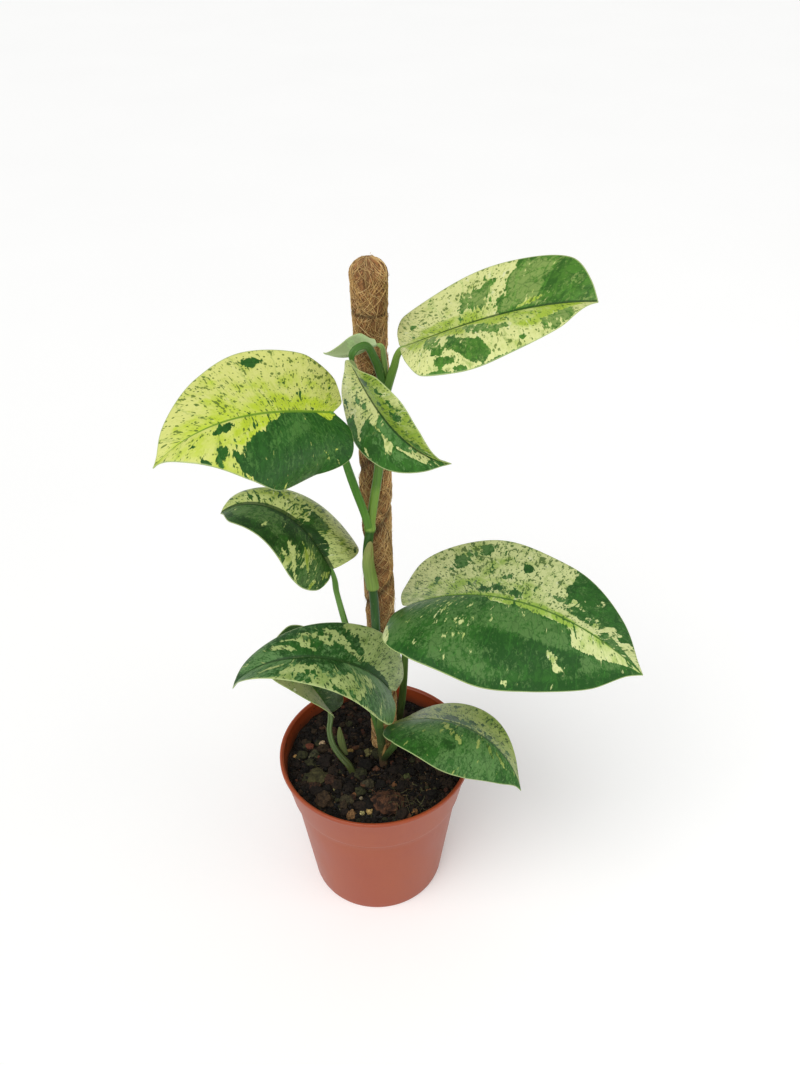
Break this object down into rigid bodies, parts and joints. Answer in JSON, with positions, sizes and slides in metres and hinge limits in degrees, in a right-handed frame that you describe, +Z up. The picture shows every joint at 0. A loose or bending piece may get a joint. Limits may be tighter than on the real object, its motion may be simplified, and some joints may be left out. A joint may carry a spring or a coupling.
{
  "type": "potted satin pothos",
  "caption": "Climbing house plant with cream-and-green marbled heart-shaped leaves, tied up a short coir pole in a round plastic nursery pot of dark soil.",
  "frame": {"origin": "middle of the pot's flat underside, which rests on the floor", "axes": "+Z up along the pot and the pole, -Y towards the picture's camera, +X to the picture's right"},
  "size_m": [0.2289, 0.1522, 0.4195],
  "materials": {
    "terracotta_plastic": "satin orange-brown plastic",
    "dark_soil": "moist potting soil with bark",
    "coir_fibre": "rough golden-brown coconut fibre",
    "stick_wood": "bare round stick",
    "stem_green": "smooth green stem",
    "sheath_green": "papery yellow-green sheath",
    "leaf_top_green": "satin leaf, cream and green",
    "leaf_upper_left_green": "satin leaf, lime and green",
    "leaf_centre_green": "satin leaf, cream and green",
    "leaf_young_green": "young matte leaf, pale green",
    "leaf_mid_left_green": "satin leaf, green and cream",
    "leaf_right_green": "satin leaf, cream and green",
    "leaf_low_left_green": "satin leaf, green with cream streaks",
    "leaf_low_back_green": "satin leaf, dark green",
    "leaf_low_right_green": "satin leaf, mottled green"
  },
  "bodies": {
    "root": {"pot": "terracotta_plastic", "soil": "dark_soil", "coir_wrap": "coir_fibre", "pole_stick": "stick_wood", "climbing_shoot": "stem_green", "right_shoot": "stem_green", "left_shoot": "stem_green", "stem_sheath": "sheath_green", "left_sheath": "sheath_green", "leaf_top": "leaf_top_green", "leaf_upper_left": "leaf_upper_left_green", "leaf_centre": "leaf_centre_green", "leaf_young": "leaf_young_green", "leaf_mid_left": "leaf_mid_left_green", "leaf_right": "leaf_right_green", "leaf_low_left": "leaf_low_left_green", "leaf_low_back": "leaf_low_back_green", "leaf_low_right": "leaf_low_right_green"}
  },
  "joints": []
}
